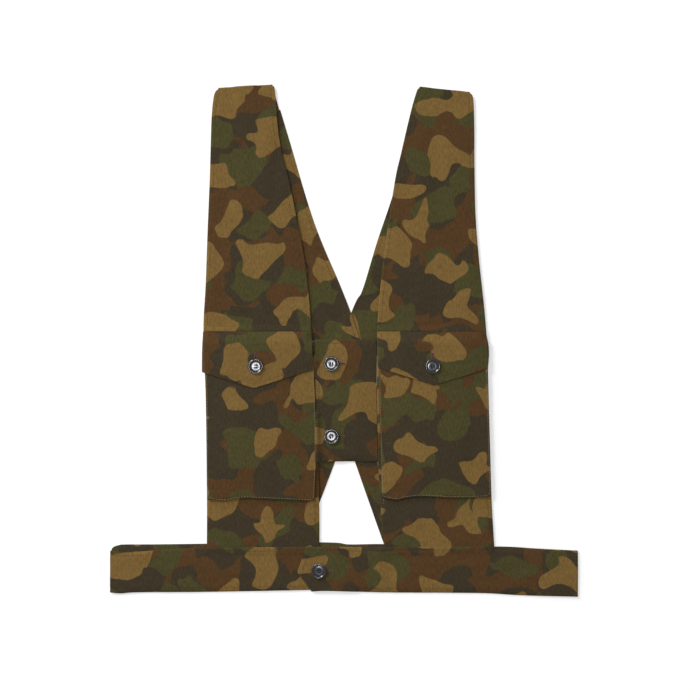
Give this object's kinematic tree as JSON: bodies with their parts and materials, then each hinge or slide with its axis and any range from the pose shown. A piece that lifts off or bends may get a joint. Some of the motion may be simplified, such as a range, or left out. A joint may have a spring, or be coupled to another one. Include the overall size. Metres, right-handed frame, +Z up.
{
  "type": "binocular harness pack",
  "caption": "Camouflage cotton harness vest laid flat: two pocketed front panels with shoulder straps, crossed back straps, buttoned chest tab and waist belt.",
  "frame": {"origin": "centre of the outline of the flat vest, on the surface it lies on", "axes": "+Y towards the wearer's head, +X towards the wearer's left, +Z up, out of the vest's front"},
  "size_m": [0.56, 0.615, 0.0139],
  "materials": {
    "camouflage_cloth": "four-colour printed cotton drill, matt, top-stitched in matching thread",
    "camouflage_lining": "the same printed cotton drill, used for linings and back straps, matt",
    "button": "black moulded button, glossy",
    "thread": "brown-grey sewing thread"
  },
  "bodies": {
    "vest": {"right_front_panel": "camouflage_cloth", "right_front_lining": "camouflage_lining", "left_front_panel": "camouflage_cloth", "left_front_lining": "camouflage_lining", "right_shoulder_fold": "camouflage_cloth", "left_shoulder_fold": "camouflage_cloth", "right_back_strap": "camouflage_lining", "left_back_strap": "camouflage_lining", "right_pocket_front": "camouflage_cloth", "right_pocket_gusset": "camouflage_cloth", "right_pocket_hem": "camouflage_lining", "left_pocket_front": "camouflage_cloth", "left_pocket_gusset": "camouflage_cloth", "left_pocket_hem": "camouflage_lining", "right_flap_seam": "camouflage_cloth", "left_flap_seam": "camouflage_cloth", "button_stand": "camouflage_lining", "chest_tab_root": "camouflage_cloth", "belt_back": "camouflage_lining", "belt_front_right": "camouflage_cloth", "belt_front_left": "camouflage_cloth", "belt_fold_right": "camouflage_cloth", "belt_fold_left": "camouflage_cloth"},
    "right_flap": {"right_flap": "camouflage_cloth", "right_flap_lining": "camouflage_lining", "right_flap_buttonhole": "thread"},
    "left_flap": {"left_flap": "camouflage_cloth", "left_flap_lining": "camouflage_lining", "left_flap_buttonhole": "thread"},
    "chest_tab": {"chest_tab": "camouflage_cloth", "chest_tab_lining": "camouflage_lining", "chest_tab_buttonholes": "thread"},
    "belt_tongue": {"belt_tongue": "camouflage_cloth", "belt_tongue_lining": "camouflage_lining", "belt_tongue_buttonhole": "thread"},
    "right_pocket_button": {"right_pocket_button": "button", "right_pocket_button_thread": "thread"},
    "left_pocket_button": {"left_pocket_button": "button", "left_pocket_button_thread": "thread"},
    "upper_chest_button": {"upper_chest_button": "button", "upper_chest_button_thread": "thread"},
    "lower_chest_button": {"lower_chest_button": "button", "lower_chest_button_thread": "thread"},
    "belt_button": {"belt_button": "button", "belt_button_thread": "thread"}
  },
  "joints": [
    {"name": "right_flap_fold", "type": "hinge", "parent": "vest", "child": "right_flap", "pos_m": [0.002, 0.0107, 0.006], "axis": [-1, 0, 0], "range_deg": [0, 160], "deforming": ["right_flap_buttonhole"]},
    {"name": "left_flap_fold", "type": "hinge", "parent": "vest", "child": "left_flap", "pos_m": [0.002, 0.0107, 0.006], "axis": [-1, 0, 0], "range_deg": [0, 160], "deforming": ["left_flap_buttonhole"]},
    {"name": "chest_tab_fold", "type": "hinge", "parent": "vest", "child": "chest_tab", "pos_m": [0.034, -0.0715, 0.0039], "axis": [0, 1, 0], "range_deg": [0, 115], "deforming": ["chest_tab_buttonholes"]},
    {"name": "belt_tongue_fold", "type": "hinge", "parent": "vest", "child": "belt_tongue", "pos_m": [0.044, -0.276, 0.0051], "axis": [0, 1, 0], "range_deg": [0, 170], "deforming": ["belt_tongue_buttonhole"]},
    {"name": "right_pocket_button_turn", "type": "hinge", "parent": "vest", "child": "right_pocket_button", "pos_m": [-0.1054, -0.031, 0.0107], "axis": [0, 0, 1], "range_deg": [-30, 30], "stiffness_Nm_per_rad": 0.0005},
    {"name": "left_pocket_button_turn", "type": "hinge", "parent": "vest", "child": "left_pocket_button", "pos_m": [0.106, -0.031, 0.0107], "axis": [0, 0, 1], "range_deg": [-30, 30], "stiffness_Nm_per_rad": 0.0005},
    {"name": "upper_chest_button_turn", "type": "hinge", "parent": "vest", "child": "upper_chest_button", "pos_m": [-0.015, -0.028, 0.0051], "axis": [0, 0, 1], "range_deg": [-30, 30], "stiffness_Nm_per_rad": 0.0005},
    {"name": "lower_chest_button_turn", "type": "hinge", "parent": "vest", "child": "lower_chest_button", "pos_m": [-0.015, -0.115, 0.0051], "axis": [0, 0, 1], "range_deg": [-30, 30], "stiffness_Nm_per_rad": 0.0005},
    {"name": "belt_button_turn", "type": "hinge", "parent": "vest", "child": "belt_button", "pos_m": [-0.03, -0.276, 0.0051], "axis": [0, 0, 1], "range_deg": [-30, 30], "stiffness_Nm_per_rad": 0.0005}
  ]
}
